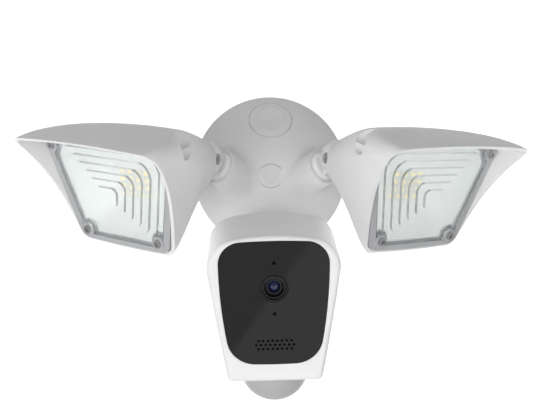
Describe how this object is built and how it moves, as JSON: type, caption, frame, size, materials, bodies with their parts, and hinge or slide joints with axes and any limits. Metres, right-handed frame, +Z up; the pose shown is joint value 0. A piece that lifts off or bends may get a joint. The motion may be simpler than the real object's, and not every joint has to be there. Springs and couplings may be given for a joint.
{
  "type": "floodlight security camera",
  "caption": "Wall-mounted camera with a domed canopy, flared lamp heads on swivel knuckles and a domed motion sensor under the camera.",
  "frame": {"origin": "centre of the canopy's wall face", "axes": "+Z up, +Y into the wall, +X to the right seen from the front"},
  "size_m": [0.3463, 0.181, 0.2193],
  "materials": {
    "aluminium": "die cast",
    "black_gloss": "polished",
    "black_plastic": "satin",
    "canopy_shell": "fine moulded satin",
    "circuit_board": "white solder mask",
    "clear_lens": "clear moulded polycarbonate",
    "coated_glass": "blue anti-reflection coating",
    "dome_plastic": "translucent polyethylene",
    "green_board": "green solder mask",
    "grey_frame": "satin",
    "led": "yellow phosphor",
    "reflector": "white",
    "rubber": "matt",
    "steel": "zinc plated",
    "terminal_plastic": "satin",
    "white_shell": "fine moulded satin"
  },
  "bodies": {
    "base": {"canopy": "canopy_shell", "wall_gasket": "rubber", "mounting_bracket": "steel", "canopy_bolts": "steel", "upper_bolt_plug": "canopy_shell", "lower_bolt_plug": "canopy_shell", "power_supply": "black_plastic", "terminal_block": "terminal_plastic"},
    "left_knuckle": {"left_arm": "white_shell", "left_socket_seal": "rubber", "left_swivel_nut": "steel"},
    "left_lamp": {"left_tilt_bolt": "steel", "left_lamp_housing": "white_shell", "left_heat_spreader": "aluminium", "left_led_board": "circuit_board", "left_led_chips": "led", "left_reflector": "reflector", "left_lens_gasket": "rubber", "left_lens": "clear_lens", "left_lens_frame": "grey_frame", "left_lens_screws": "steel"},
    "right_knuckle": {"right_arm": "white_shell", "right_socket_seal": "rubber", "right_swivel_nut": "steel"},
    "right_lamp": {"right_tilt_bolt": "steel", "right_lamp_housing": "white_shell", "right_heat_spreader": "aluminium", "right_led_board": "circuit_board", "right_led_chips": "led", "right_reflector": "reflector", "right_lens_gasket": "rubber", "right_lens": "clear_lens", "right_lens_frame": "grey_frame", "right_lens_screws": "steel"},
    "camera_knuckle": {"camera_arm": "white_shell", "camera_socket_seal": "rubber", "camera_swivel_nut": "steel"},
    "camera": {"camera_tilt_bolt": "steel", "camera_rear_shell": "white_shell", "camera_front_bezel": "white_shell", "camera_window": "black_gloss", "camera_lens_barrel": "black_plastic", "camera_lens_glass": "coated_glass", "image_sensor": "black_plastic", "camera_board": "green_board", "light_sensor": "black_plastic", "microphone": "rubber", "speaker": "black_plastic", "camera_body_screws": "steel", "motion_sensor_dome": "dome_plastic", "motion_sensor_board": "green_board", "motion_sensor": "steel"},
    "reset_button": {"reset_button": "rubber"}
  },
  "joints": [
    {"name": "left_lamp_swivel", "type": "hinge", "parent": "base", "child": "left_knuckle", "pos_m": [-0.038, -0.047, 0.004], "axis": [-0.5899, -0.7389, 0.3256], "range_deg": [-35, 35]},
    {"name": "left_lamp_tilt", "type": "hinge", "parent": "left_knuckle", "child": "left_lamp", "pos_m": [-0.04744, -0.05882, 0.00921], "axis": [0.7467, -0.6526, -0.1283], "range_deg": [-45, 12]},
    {"name": "right_lamp_swivel", "type": "hinge", "parent": "base", "child": "right_knuckle", "pos_m": [0.038, -0.047, 0.004], "axis": [0.5899, -0.7389, 0.3256], "range_deg": [-35, 35]},
    {"name": "right_lamp_tilt", "type": "hinge", "parent": "right_knuckle", "child": "right_lamp", "pos_m": [0.04744, -0.05882, 0.00921], "axis": [0.7719, 0.6344, 0.0412], "range_deg": [-45, 12]},
    {"name": "camera_pan", "type": "hinge", "parent": "base", "child": "camera_knuckle", "pos_m": [0, -0.038, -0.042], "axis": [0, -0.9397, -0.342], "range_deg": [-30, 30]},
    {"name": "camera_tilt", "type": "hinge", "parent": "camera_knuckle", "child": "camera", "pos_m": [0, -0.05303, -0.04747], "axis": [0.9997, -0.0078, 0.0213], "range_deg": [-20, 18]},
    {"name": "reset_press", "type": "slide", "parent": "camera", "child": "reset_button", "axis": [-0.0016, -0.9613, -0.2757], "range_m": [0, 0.001], "stiffness_N_per_m": 300, "springref_m": -0.001}
  ]
}
